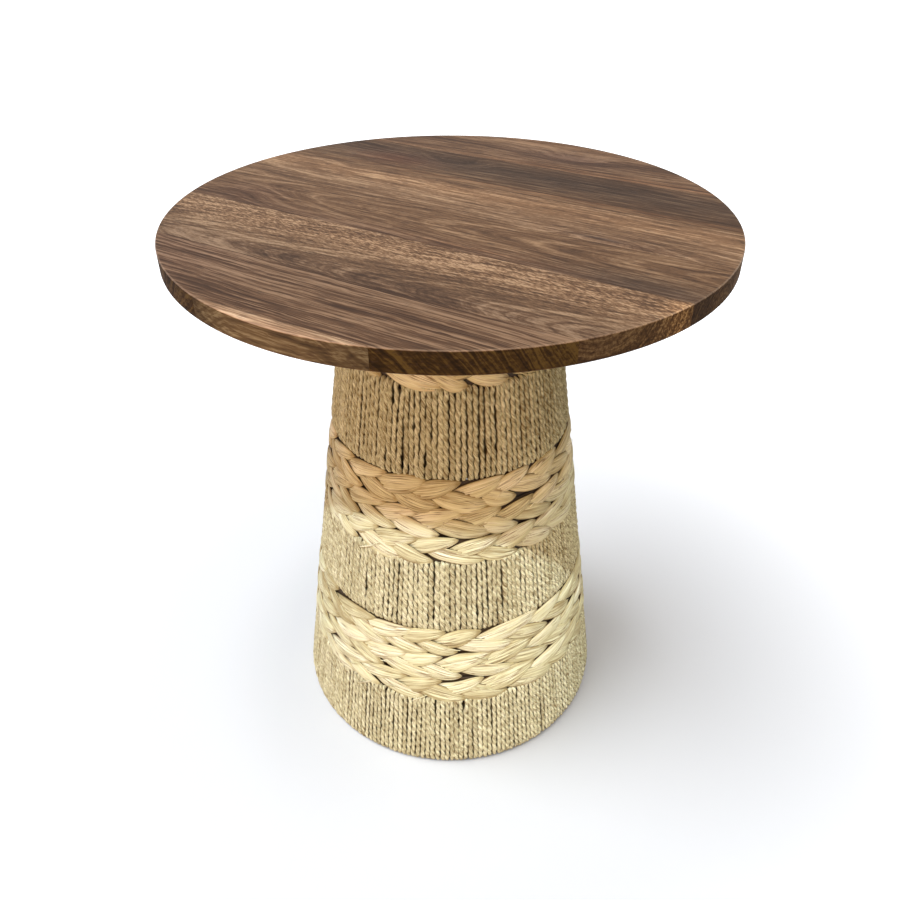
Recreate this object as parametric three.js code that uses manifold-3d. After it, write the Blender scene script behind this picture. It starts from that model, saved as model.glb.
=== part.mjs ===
// Round side table. Seven glued walnut boards are screwed to a cone of steel rod,
// and the cone is covered with upright twisted cords and rows of plaited palm leaf.
// Millimetres, +Z up. The origin is on the floor under the middle of the table,
// and the boards of the top run along X.

import * as THREE from 'three';
import { mergeVertices } from 'three/addons/utils/BufferGeometryUtils.js';
import Module from 'manifold-3d';

const wasm = await Module();
wasm.setup();

// Top and base
const topDiameter = 500;
const topThickness = 19;
const footRadius = 174;
const neckRadius = 94;

// Stripes of the base from the floor up, 541 in all, which with the top makes a table 560 high
const lowerCordHeight = 92;
const lowerPlaitHeight = 87;
const middleCordHeight = 86;
const middlePlaitHeight = 86;
const upperCordHeight = 95;
const topPlaitHeight = 95;

// Boards of the top: their joints from the front to the back, as shares of the top's radius
const jointShares = [-0.952, -0.648, -0.288, 0, 0.3, 0.632];
const glueLine = 0.1;
const topArris = 1;
const bottomArris = 1.5;

// Steel rod frame
const rodDiameter = 6;
const uprightCount = 6;

// Upright cords
const cordDiameter = 5;
const cordGroove = 1.6;
const lowerCordCount = 200;
const middleCordCount = 165;
const upperCordCount = 134;

// Plaits of palm leaf
const plaitRows = 3;
const plaitThickness = 6;
const plaitProud = 1;
const lobeDip = 1.8;
const lowerLobeCount = 21;
const middleLobeCount = 21;
const topLobeCount = 18;

// Tabs welded inside the top ring, and the screws that hold the boards
const tabCount = 4;
const tabLength = 24;
const tabWidth = 20;
const tabThickness = 3;
const screwDiameter = 4;
const screwBite = 12;
const screwHeadDiameter = 8;
const screwHeadHeight = 2.4;
const screwPoint = 3;

// Clearances, and one overrun for all cuts
const seatGap = 0.3;
const screwClearance = 0.3;
const cutOverrun = 5;

// Facets
const rimSegments = 96;
const ringSegments = 36;
const boreSegments = 48;
const rodSides = 8;
const screwSides = 12;

// Heights and radii that the pieces share
const rodRadius = rodDiameter / 2;
const screwRadius = screwDiameter / 2;
const lowerPlaitFoot = lowerCordHeight;
const middleCordFoot = lowerPlaitFoot + lowerPlaitHeight;
const middlePlaitFoot = middleCordFoot + middleCordHeight;
const upperCordFoot = middlePlaitFoot + middlePlaitHeight;
const topPlaitFoot = upperCordFoot + upperCordHeight;
const baseHeight = topPlaitFoot + topPlaitHeight;
const tableHeight = baseHeight + topThickness;
const topRingHeight = baseHeight - seatGap - rodRadius;

// Outer face of the cords at a height
function coneRadius(z) {
  return footRadius + (neckRadius - footRadius) * z / baseHeight;
}

// Middle of a ring's rod: just behind the cords
function ringRadius(z) {
  return coneRadius(z) - cordDiameter - seatGap - rodRadius;
}

// Corner radius of a polygon whose flats stay outside the radius
function outsideRadius(radius, segments) {
  return radius / Math.cos(Math.PI / segments);
}

// Flat radius of a polygon whose corners lie on the radius
function flatRadius(radius, segments) {
  return radius * Math.cos(Math.PI / segments);
}

// Middle of an upright: welded inside the rings
function uprightRadius(z) {
  return flatRadius(ringRadius(z) - rodRadius, ringSegments) - seatGap - rodRadius;
}

// Materials
const walnut = { color: 0x8a6a50, roughness: 0.55, metalness: 0 };
const blackSteel = { color: 0x23211f, roughness: 0.6, metalness: 0.3 };
const zincScrew = { color: 0xb8b6ae, roughness: 0.35, metalness: 1 };
const paperCord = { color: 0xcbb58b, roughness: 0.9, metalness: 0 };
const palmLeaf = { color: 0xdccb9a, roughness: 0.85, metalness: 0 };

const table = new THREE.Group();

function addPiece(name, geometry, look) {
  const mesh = new THREE.Mesh(geometry, new THREE.MeshStandardMaterial(look));
  mesh.name = name;
  table.add(mesh);
  return mesh;
}

// Booleans
function toSolid(geometry) {
  const bare = geometry.clone();
  bare.deleteAttribute('normal');
  bare.deleteAttribute('uv');
  const merged = mergeVertices(bare);
  const corners = merged.index.array;
  const kept = [];
  for (let i = 0; i < corners.length; i += 3) {
    const [a, b, c] = corners.slice(i, i + 3);
    if (a !== b && b !== c && c !== a) kept.push(a, b, c);
  }
  return new wasm.Manifold(new wasm.Mesh({
    numProp: 3,
    vertProperties: new Float32Array(merged.attributes.position.array),
    triVerts: new Uint32Array(kept),
  }));
}

function toGeometry(solid) {
  const mesh = solid.getMesh();
  const geometry = new THREE.BufferGeometry();
  geometry.setAttribute('position', new THREE.BufferAttribute(mesh.vertProperties, 3));
  geometry.setIndex(new THREE.BufferAttribute(mesh.triVerts, 1));
  geometry.computeVertexNormals();
  return geometry;
}

// Turned body about Z from points given as radius and height
function turned(points, segments) {
  const profile = points.map(([radius, z]) => new THREE.Vector2(radius, z));
  return new THREE.LatheGeometry(profile, segments).rotateX(Math.PI / 2);
}

// Upright round bar from one height to another
function pillar(radius, fromZ, toZ, sides) {
  const bar = new THREE.CylinderGeometry(radius, radius, toZ - fromZ, sides);
  return bar.rotateX(Math.PI / 2).translate(0, 0, (fromZ + toZ) / 2);
}

// Where the tabs and their screws stand
const tabOuterEnd = flatRadius(ringRadius(topRingHeight) - rodRadius, ringSegments) - seatGap;
const screwRingRadius = tabOuterEnd - tabLength / 2;

function tabAngle(index) {
  return (index + 1 / 2) * 2 * Math.PI / tabCount;
}

function aroundAxis(radius, angle) {
  return [radius * Math.cos(angle), radius * Math.sin(angle)];
}

// Glued boards: strips of one turned disc, with a blind hole for each screw
const topRadius = topDiameter / 2;
const disc = toSolid(turned([
  [0, baseHeight],
  [topRadius - bottomArris, baseHeight],
  [topRadius, baseHeight + bottomArris],
  [topRadius, tableHeight - topArris],
  [topRadius - topArris, tableHeight],
  [0, tableHeight],
], rimSegments));

function screwHoles() {
  const holes = [];
  for (let i = 0; i < tabCount; i += 1) {
    const [x, y] = aroundAxis(screwRingRadius, tabAngle(i));
    const depth = screwBite + screwClearance;
    const hole = pillar(screwRadius + screwClearance, baseHeight - cutOverrun, baseHeight + depth, screwSides);
    holes.push(toSolid(hole.translate(x, y, 0)));
  }
  return holes;
}

// The outer edges of the outer boards lie past the rim, which cuts them
const rimEdge = topRadius + cutOverrun;
const joints = jointShares.map((share) => share * topRadius);
const boardFronts = [-rimEdge, ...joints.map((y) => y + glueLine / 2)];
const boardBacks = [...joints.map((y) => y - glueLine / 2), rimEdge];
const boardHoles = screwHoles();
for (let i = 0; i < boardFronts.length; i += 1) {
  const width = boardBacks[i] - boardFronts[i];
  const strip = new THREE.BoxGeometry(topDiameter + cutOverrun, width, topThickness + cutOverrun);
  strip.translate(0, boardFronts[i] + width / 2, baseHeight + topThickness / 2);
  let board = disc.intersect(toSolid(strip));
  for (const hole of boardHoles) board = board.subtract(hole);
  addPiece(`top_board_${i + 1}`, toGeometry(board), walnut);
}

// Rings: one in the head and one in the foot of each cord panel, and one under the boards
function addRing(name, z) {
  const ring = new THREE.TorusGeometry(ringRadius(z), rodRadius, rodSides, ringSegments);
  addPiece(name, ring.translate(0, 0, z), blackSteel);
}

const footInset = cordDiameter + seatGap + rodRadius;

// Cord panel: a fluted wall of close upright cords, whose ends turn in over the two rings
function flutedWall(footZ, headZ, cordCount) {
  const shape = new THREE.Shape();
  const footOuter = coneRadius(footZ);
  for (let i = 0; i < cordCount * 2; i += 1) {
    const radius = i % 2 === 0 ? footOuter : footOuter - cordGroove;
    const [x, y] = aroundAxis(radius, i * Math.PI / cordCount);
    if (i === 0) shape.moveTo(x, y);
    else shape.lineTo(x, y);
  }
  shape.closePath();
  const wall = new THREE.ExtrudeGeometry(shape, { depth: headZ - footZ, bevelEnabled: false });
  wall.translate(0, 0, footZ);
  const place = wall.attributes.position;
  for (let i = 0; i < place.count; i += 1) {
    const taper = coneRadius(place.getZ(i)) / footOuter;
    place.setX(i, place.getX(i) * taper);
    place.setY(i, place.getY(i) * taper);
  }
  return wall;
}

function panelHollow(footZ, headZ) {
  const lipRadius = (z) => outsideRadius(ringRadius(z) - rodRadius, boreSegments);
  const wallRadius = (z) => outsideRadius(coneRadius(z) - cordDiameter, boreSegments);
  const lowZ = footZ - cutOverrun;
  const highZ = headZ + cutOverrun;
  const recessFoot = footZ + cordDiameter;
  const recessHead = headZ - cordDiameter;
  return turned([
    [0, lowZ],
    [lipRadius(lowZ), lowZ],
    [lipRadius(recessFoot), recessFoot],
    [wallRadius(recessFoot), recessFoot],
    [wallRadius(recessHead), recessHead],
    [lipRadius(recessHead), recessHead],
    [lipRadius(highZ), highZ],
    [0, highZ],
  ], boreSegments);
}

function addCordPanel(name, footZ, height, cordCount) {
  const headZ = footZ + height;
  const wall = toSolid(flutedWall(footZ, headZ, cordCount));
  const panel = wall.subtract(toSolid(panelHollow(footZ, headZ)));
  addPiece(`${name}_cords`, toGeometry(panel), paperCord);
  addRing(`${name}_cord_foot_ring`, footZ + footInset);
  addRing(`${name}_cord_head_ring`, headZ - footInset);
}

addCordPanel('lower', 0, lowerCordHeight, lowerCordCount);
addCordPanel('middle', middleCordFoot, middleCordHeight, middleCordCount);
addCordPanel('upper', upperCordFoot, upperCordHeight, upperCordCount);
addRing('top_ring', topRingHeight);

// Plait: a flat band closed round the base, with two staggered rows of lobes on its face.
// The rows of a band stand edge to edge on one another at their backs.
function plaitRing(footZ, headZ, lobeCount) {
  const segments = lobeCount * 2;
  const middleZ = (footZ + headZ) / 2;
  const quarter = (headZ - footZ) / 4;
  const positions = [];
  for (let i = 0; i < segments; i += 1) {
    const upperDip = i % 2 === 0 ? 0 : lobeDip;
    const lowerDip = lobeDip - upperDip;
    const section = [
      [plaitProud - plaitThickness, footZ],
      [plaitProud - lobeDip * 2, footZ + lowerDip],
      [plaitProud - lowerDip, middleZ - quarter],
      [plaitProud - lobeDip, middleZ],
      [plaitProud - upperDip, middleZ + quarter],
      [plaitProud - lobeDip * 2, headZ - upperDip],
      [plaitProud - plaitThickness, headZ],
    ];
    for (const [standOff, z] of section) {
      const radius = outsideRadius(coneRadius(z), segments) + standOff;
      const [x, y] = aroundAxis(radius, i * Math.PI / lobeCount);
      positions.push(x, y, z);
    }
  }
  return closedRing(positions, segments);
}

// Skin round a ring of equal sections, listed one after another
function closedRing(positions, segments) {
  const count = positions.length / 3 / segments;
  const corners = [];
  for (let i = 0; i < segments; i += 1) {
    const here = i * count;
    const next = (i + 1) % segments * count;
    for (let j = 0; j < count; j += 1) {
      const up = (j + 1) % count;
      corners.push(here + j, next + j, here + up);
      corners.push(next + j, next + up, here + up);
    }
  }
  const geometry = new THREE.BufferGeometry();
  geometry.setAttribute('position', new THREE.Float32BufferAttribute(positions, 3));
  geometry.setIndex(corners);
  geometry.computeVertexNormals();
  return geometry;
}

function addPlaits(name, footZ, height, lobeCount) {
  const rowHeight = (height - seatGap) / plaitRows;
  for (let i = 0; i < plaitRows; i += 1) {
    const rowFoot = footZ + seatGap + i * rowHeight;
    const rowHead = rowFoot + rowHeight - seatGap;
    addPiece(`${name}_plait_${i + 1}`, plaitRing(rowFoot, rowHead, lobeCount), palmLeaf);
  }
}

addPlaits('lower', lowerPlaitFoot, lowerPlaitHeight, lowerLobeCount);
addPlaits('middle', middlePlaitFoot, middlePlaitHeight, middleLobeCount);
addPlaits('top', topPlaitFoot, topPlaitHeight, topLobeCount);

// Uprights: straight rods that lean in with the cone, from the foot ring to the top ring
for (let i = 0; i < uprightCount; i += 1) {
  const angle = i * 2 * Math.PI / uprightCount;
  const footZ = footInset;
  const headZ = topRingHeight;
  const foot = new THREE.Vector3(...aroundAxis(uprightRadius(footZ), angle), footZ);
  const head = new THREE.Vector3(...aroundAxis(uprightRadius(headZ), angle), headZ);
  const run = head.clone().sub(foot);
  const rod = new THREE.CylinderGeometry(rodRadius, rodRadius, run.length(), rodSides);
  const upright = addPiece(`upright_${i + 1}`, rod, blackSteel);
  upright.position.copy(foot).addScaledVector(run, 1 / 2);
  upright.quaternion.setFromUnitVectors(new THREE.Vector3(0, 1, 0), run.normalize());
}

// Tabs and screws: each screw goes up through its tab into a board
for (let i = 0; i < tabCount; i += 1) {
  const angle = tabAngle(i);
  const [x, y] = aroundAxis(screwRingRadius, angle);
  const tabFoot = baseHeight - tabThickness;
  const plate = new THREE.BoxGeometry(tabLength, tabWidth, tabThickness);
  const hole = pillar(screwRadius + screwClearance, -tabThickness, tabThickness, screwSides);
  const tab = toGeometry(toSolid(plate).subtract(toSolid(hole)));
  tab.rotateZ(angle).translate(x, y, baseHeight - tabThickness / 2);
  addPiece(`screw_tab_${i + 1}`, tab, blackSteel);

  const screw = turned([
    [0, tabFoot - screwHeadHeight],
    [screwHeadDiameter / 2 - screwHeadHeight / 2, tabFoot - screwHeadHeight],
    [screwHeadDiameter / 2, tabFoot - screwHeadHeight / 2],
    [screwHeadDiameter / 2, tabFoot],
    [screwRadius, tabFoot],
    [screwRadius, baseHeight + screwBite - screwPoint],
    [0, baseHeight + screwBite],
  ], screwSides);
  addPiece(`top_screw_${i + 1}`, screw.translate(x, y, 0), zincScrew);
}

export default table;
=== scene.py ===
# Round side table: a walnut top on a cone of twisted cords and plaited palm leaf over a steel rod frame
import math

import bmesh
import bpy
import numpy as np
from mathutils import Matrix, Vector


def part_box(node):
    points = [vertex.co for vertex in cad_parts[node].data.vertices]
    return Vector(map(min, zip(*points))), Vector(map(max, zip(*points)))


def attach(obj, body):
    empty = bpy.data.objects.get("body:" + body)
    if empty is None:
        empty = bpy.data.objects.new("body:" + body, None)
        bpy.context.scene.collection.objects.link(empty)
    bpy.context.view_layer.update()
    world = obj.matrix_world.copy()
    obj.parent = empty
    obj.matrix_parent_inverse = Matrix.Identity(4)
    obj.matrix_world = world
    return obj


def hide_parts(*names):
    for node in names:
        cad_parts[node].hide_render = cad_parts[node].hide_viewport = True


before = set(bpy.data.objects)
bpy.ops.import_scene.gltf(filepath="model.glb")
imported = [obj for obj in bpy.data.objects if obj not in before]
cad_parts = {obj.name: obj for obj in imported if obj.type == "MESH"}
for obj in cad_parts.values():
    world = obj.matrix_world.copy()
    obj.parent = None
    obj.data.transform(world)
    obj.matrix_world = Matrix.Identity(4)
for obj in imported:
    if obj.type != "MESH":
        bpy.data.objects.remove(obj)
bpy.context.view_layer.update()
scene = bpy.context.scene

# Everything is in metres, Z up, with the origin on the floor under the middle of the table
cone = {
    "footRadius": 0.174,
    "neckRadius": 0.094,
    "height": 0.541,
    "cordThickness": 0.005,
    "ringInset": 0.0083,  # from a panel's edge and from its face to the middle of its rod
}
lean = math.atan2(cone["footRadius"] - cone["neckRadius"], cone["height"])
cameraSide = -60  # degrees round the table from +X
plaitRows = [1, 2, 3]  # of each band, from its foot up


def coneRadius(z):
    return cone["footRadius"] + (cone["neckRadius"] - cone["footRadius"]) * z / cone["height"]


def ringRadius(z):
    return coneRadius(z) - cone["ringInset"]


def newObject(name, data):
    made = bpy.data.objects.new(name, data)
    scene.collection.objects.link(made)
    return made


# Helpers for nodes: addAfter puts a node into the tree that its linked inputs are in
def addNode(tree, kind, inputs=None, **settings):
    made = tree.nodes.new("ShaderNode" + kind)
    for key, value in settings.items():
        setattr(made, key, value)
    for key, value in (inputs or {}).items():
        if isinstance(value, bpy.types.NodeSocket):
            tree.links.new(value, made.inputs[key])
        else:
            made.inputs[key].default_value = value
    return made


def addAfter(kind, inputs, **settings):
    linked = [value for value in inputs.values() if isinstance(value, bpy.types.NodeSocket)]
    return addNode(linked[0].id_data, kind, inputs, **settings)


def connect(sockets, values):
    for key, value in values.items():
        value.id_data.links.new(value, sockets[key])


def maths(operation, *values):
    return addAfter("Math", dict(enumerate(values)), operation=operation).outputs[0]


def times(first, second):
    return maths("MULTIPLY", first, second)


def shifted(start, value, amount, middle=0.5):
    # A start value, moved by how far another one lies from its middle
    return maths("MULTIPLY_ADD", maths("SUBTRACT", value, middle), amount, start)


def vectorMaths(operation, *values):
    made = addAfter("VectorMath", dict(enumerate(values)), operation=operation)
    return made.outputs["Value" if operation in ("DOT_PRODUCT", "LENGTH") else "Vector"]


def noise(place, detail=2.0, roughness=0.5, scale=1.0, output="Fac"):
    inputs = {"Vector": place, "Scale": scale, "Detail": detail, "Roughness": roughness}
    return addAfter("TexNoise", inputs).outputs[output]


def remap(value, low, high, toLow=0.0, toHigh=1.0, kind="LINEAR"):
    inputs = {"Value": value, "From Min": low, "From Max": high, "To Min": toLow, "To Max": toHigh}
    return addAfter("MapRange", inputs, interpolation_type=kind).outputs["Result"]


def fade(value, low, high, toLow=0.0, toHigh=1.0):
    return remap(value, low, high, toLow, toHigh, "SMOOTHSTEP")


def mixColour(factor, first, second, blend="MIX"):
    inputs = {0: factor, 6: first, 7: second}
    return addAfter("Mix", inputs, data_type="RGBA", blend_type=blend).outputs[2]


def colourOf(tone, stops):
    # From the first colour through the second to the third, each given with the tone that has it
    (dark, darkColour), (middle, middleColour), (light, lightColour) = stops
    lower = mixColour(remap(tone, dark, middle), darkColour, middleColour)
    return mixColour(remap(tone, middle, light), lower, lightColour)


def splitVector(vector):
    return addAfter("SeparateXYZ", {"Vector": vector}).outputs


def joinVector(x, y, z):
    return addAfter("CombineXYZ", {"X": x, "Y": y, "Z": z}).outputs["Vector"]


def addBump(height, strength, depth):
    inputs = {"Height": height, "Strength": strength, "Distance": depth}
    return addAfter("Bump", inputs).outputs[0]


def objectPlace(tree):
    return addNode(tree, "TexCoord").outputs["Object"]


def newGroup(name, inputs, outputs):
    # The start value of an input tells whether it is a number, a vector or a colour
    group = bpy.data.node_groups.new(name, "ShaderNodeTree")
    kinds = {1: "NodeSocketFloat", 3: "NodeSocketVector", 4: "NodeSocketColor"}
    for label, start in inputs.items():
        socket = group.interface.new_socket(label, in_out="INPUT", socket_type=kinds[np.size(start)])
        socket.default_value = start
    for label in outputs:
        kind = kinds[4 if label == "Colour" else 1]
        group.interface.new_socket(label, in_out="OUTPUT", socket_type=kind)
    return group, group.nodes.new("NodeGroupInput").outputs, group.nodes.new("NodeGroupOutput").inputs


def useGroup(group, inputs):
    return addAfter("Group", inputs, node_tree=group).outputs


def newMaterial(name, plain):
    # What is the same all over the surface is set on the shader itself
    material = bpy.data.materials.new(name)
    material.use_nodes = True
    shader = material.node_tree.nodes["Principled BSDF"].inputs
    for key, value in plain.items():
        shader[key].default_value = value
    return material, material.node_tree, shader


# Camera, lights and floor
view = {
    "place": (0.3548, -0.615, 0.8136),
    "lookAt": (-0.0002, -0.0001, 0.3024),
    "lens": 32.89,
}
lights = {
    # degrees to the right of the camera and above the floor, strength, softness in degrees and colour
    "suns": {
        "keyLight": (-18, 63, 2.6, 1.3, (0.93, 1.0, 1.0)),
        "sideLight": (55, 60, 1.35, 26, (1.0, 0.88, 0.7)),
        "floorLight": (-82, 50, 2.6, 54, (1.0, 1.0, 1.0)),
    },
    "frontLamp": {"side": -24, "distance": 1.7, "height": 0.95, "aim": (0, 0, 0.3), "size": 1.6,
                  "strength": 14.5, "colour": (1.0, 0.51, 0.21)},
    "fillLeft": (0.36, 0.33, 0.335, 1),
    "fillRight": (0.12, 0.085, 0.05, 1),
    "fillSpread": 0.7,  # how far to a side the fill keeps changing
}
floorLook = {
    "size": 30,
    "colour": (0.74, 0.79, 0.85, 1),
    "bounce": (0.78, 0.64, 0.46, 1),  # what it throws back on the base, warmer than it looks
    "insideShadeColour": (0.02, 0.015, 0.01, 1),
    "insideEdge": (0.166, 0.172),
    # distances from the middle, and the values there
    "glow": (0.3, 1.05, 0.32, 0.9),
    "contactShadow": (0.17, 0.3, 0.85, 1.0),  # painted contact shadow: the share of the glow that is left beside the base
    "leftShade": (0.17, 0.33, 0.12, 0.0),  # painted shade, taken from the glow on the camera's left
    "leftFrom": (0.05, 0.2),
}


def placeCamera():
    camera = newObject("photoCamera", bpy.data.cameras.new("photoCamera"))
    camera.data.lens = view["lens"]
    camera.data.clip_start = 0.01
    camera.location = view["place"]
    aim = Vector(view["lookAt"]) - camera.location
    camera.rotation_euler = aim.to_track_quat("-Z", "Y").to_euler()
    scene.camera = camera


def addLamp(name, kind, aim, **settings):
    lamp = newObject(name, bpy.data.lights.new(name, kind))
    for key, value in settings.items():
        setattr(lamp.data, key, value)
    lamp.rotation_euler = Vector(aim).to_track_quat("-Z", "Y").to_euler()
    return lamp


def seenDirectly(tree):
    # 1 for what the camera sees, also by reflection or through glass
    path = addNode(tree, "LightPath").outputs
    either = maths("MAXIMUM", path["Is Camera Ray"], path["Is Glossy Ray"])
    return maths("MAXIMUM", either, path["Is Transmission Ray"])


def heading(side, height):
    # Direction to a lamp, in degrees to the right of the camera and above the floor
    side, height = math.radians(cameraSide + side), math.radians(height)
    return Vector((math.cos(side) * math.cos(height), math.sin(side) * math.cos(height), math.sin(height)))


def linkLamps(floor, boards):
    # One soft light, which the top lets by, gives the floor its shadow, and the others light only the table
    for name in (*lights["suns"], "frontLamp"):
        receivers = bpy.data.collections.new(name + "Floor")
        receivers.objects.link(floor)
        state = "INCLUDE" if name == "floorLight" else "EXCLUDE"
        receivers.collection_objects[0].light_linking.link_state = state
        bpy.data.objects[name].light_linking.receiver_collection = receivers
    passed = bpy.data.collections.new("floorLightBlockers")
    for board in boards:
        passed.objects.link(board)
    for item in passed.collection_objects:
        item.light_linking.link_state = "EXCLUDE"
    bpy.data.objects["floorLight"].light_linking.blocker_collection = passed


def lightTheRoom():
    for name, (side, height, strength, softness, colour) in lights["suns"].items():
        addLamp(name, "SUN", -heading(side, height), energy=strength, color=colour,
                angle=math.radians(softness))
    front = lights["frontLamp"]
    place = heading(front["side"], 0) * front["distance"]
    place.z = front["height"]
    lamp = addLamp("frontLamp", "AREA", Vector(front["aim"]) - place, shape="DISK", size=front["size"],
                   energy=front["strength"], color=front["colour"])
    lamp.location = place

    world = bpy.data.worlds.new("studio")
    scene.world = world
    world.use_nodes = True
    tree = world.node_tree
    tree.nodes.clear()
    # The fill is brighter and cooler from the camera's left
    direction = addNode(tree, "TexCoord").outputs["Generated"]
    spread = lights["fillSpread"]
    toRight = remap(vectorMaths("DOT_PRODUCT", direction, heading(90, 0)), -spread, spread)
    fillColour = mixColour(toRight, lights["fillLeft"], lights["fillRight"])
    fill = addNode(tree, "Background", {"Color": fillColour})
    white = addNode(tree, "Background", {"Color": (1, 1, 1, 1)})
    both = addAfter("MixShader", {0: seenDirectly(tree), 1: fill.outputs[0], 2: white.outputs[0]})
    addAfter("OutputWorld", {"Surface": both.outputs[0]})


def layFloor():
    mesh = bpy.data.meshes.new("floor")
    half = floorLook["size"] / 2
    corners = [(-half, -half, 0), (half, -half, 0), (half, half, 0), (-half, half, 0)]
    mesh.from_pydata(corners, [], [(0, 1, 2, 3)])
    floor = newObject("floor", mesh)
    material, tree, shader = newMaterial("paleFloor", {
        "Roughness": 0.9, "Specular IOR Level": 0.1, "Emission Color": (1, 1, 1, 1)})
    across = vectorMaths("MULTIPLY", objectPlace(tree), (1.0, 1.0, 0.0))
    reach = vectorMaths("LENGTH", across)
    direct = seenDirectly(tree)
    # Painted shade: the floor is nearly black inside the base, so that no light shows behind the cords
    outside = remap(reach, *floorLook["insideEdge"])
    seen = mixColour(direct, floorLook["bounce"], floorLook["colour"])
    # The floor glows for the camera, less toward the table, less again right beside the base as a painted
    # contact shadow, and painted shade is taken from it on the camera's left
    glow = times(times(direct, fade(reach, *floorLook["glow"])), outside)
    glow = times(glow, fade(reach, *floorLook["contactShadow"]))
    toLeft = remap(vectorMaths("DOT_PRODUCT", across, heading(-90, 0)), *floorLook["leftFrom"])
    shade = times(toLeft, fade(reach, *floorLook["leftShade"]))
    connect(shader, {"Base Color": mixColour(outside, floorLook["insideShadeColour"], seen),
                     "Emission Strength": maths("SUBTRACT", glow, shade)})
    mesh.materials.append(material)
    return floor


# Shader groups
def fibreGroup():
    # Fine lines along a strand and slow changes of tone, from coordinates in metres along and across it
    group, given, out = newGroup("fibreLines", {
        "Fibre": (0, 0, 0), "Line length": 0.03, "Line width": 0.0006, "Patch size": 0.02,
        "Split width": 0.002, "Strand share": 0.25}, ["Lines", "Patches", "Splits"])
    along, across, strand = splitVector(given["Fibre"])
    spread = times(strand, 37.0)
    lineAlong = maths("DIVIDE", along, given["Line length"])
    lineAcross = maths("DIVIDE", across, given["Line width"])
    lines = noise(joinVector(lineAlong, lineAcross, spread), detail=3.0, roughness=0.62)
    patchAlong = maths("DIVIDE", along, given["Patch size"])
    patches = noise(joinVector(patchAlong, times(across, 90.0), spread))
    # Thin splits between fibres, which come and go along the strand
    splitAcross = maths("DIVIDE", across, given["Split width"])
    splits = noise(joinVector(times(lineAlong, 0.8), splitAcross, spread), detail=1.5)
    splits = fade(maths("ABSOLUTE", maths("SUBTRACT", splits, 0.5)), 0.05, 0.0)
    splits = times(splits, fade(patches, 0.36, 0.58))
    connect(out, {"Lines": lines, "Splits": splits,
                  "Patches": shifted(patches, strand, given["Strand share"])})
    return group


def knotGroup():
    # Lifts the growth rings round a point, so that they close in ovals there
    group, given, out = newGroup("knot", {
        "Place": (0, 0, 0), "Centre": (0, 0, 0), "Reach": (1, 1, 1), "Lift": 0.01}, ["Lift", "Mask"])
    away = vectorMaths("DIVIDE", vectorMaths("SUBTRACT", given["Place"], given["Centre"]), given["Reach"])
    mask = maths("EXPONENT", times(vectorMaths("DOT_PRODUCT", away, away), -1.0))
    connect(out, {"Lift": times(mask, given["Lift"]), "Mask": mask})
    return group


walnutLook = {
    "dark": (0.05, 0.027, 0.0165, 1),
    "middle": (0.128, 0.07, 0.038, 1),
    "light": (0.3, 0.196, 0.122, 1),
    "fibres": (20.0, 380.0, 380.0),  # how fine they are along X, Y and Z
    "flecks": (210.0, 620.0, 560.0),
    "pores": (70.0, 900.0, 900.0),
    "poreColour": (0.03, 0.016, 0.01, 1),
    "poreShade": 0.45,
    "underside": 0.22,  # how much of the face's colour the underside has, the rest is the rim's
    "arrisHighlightColour": (0.27, 0.205, 0.15, 1),
    "arrisHighlight": 0.4,
    "rimRoughness": 0.35,
    "gloss": 0.14,
    "bump": (0.25, 0.0003),  # strength and depth
}


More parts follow.
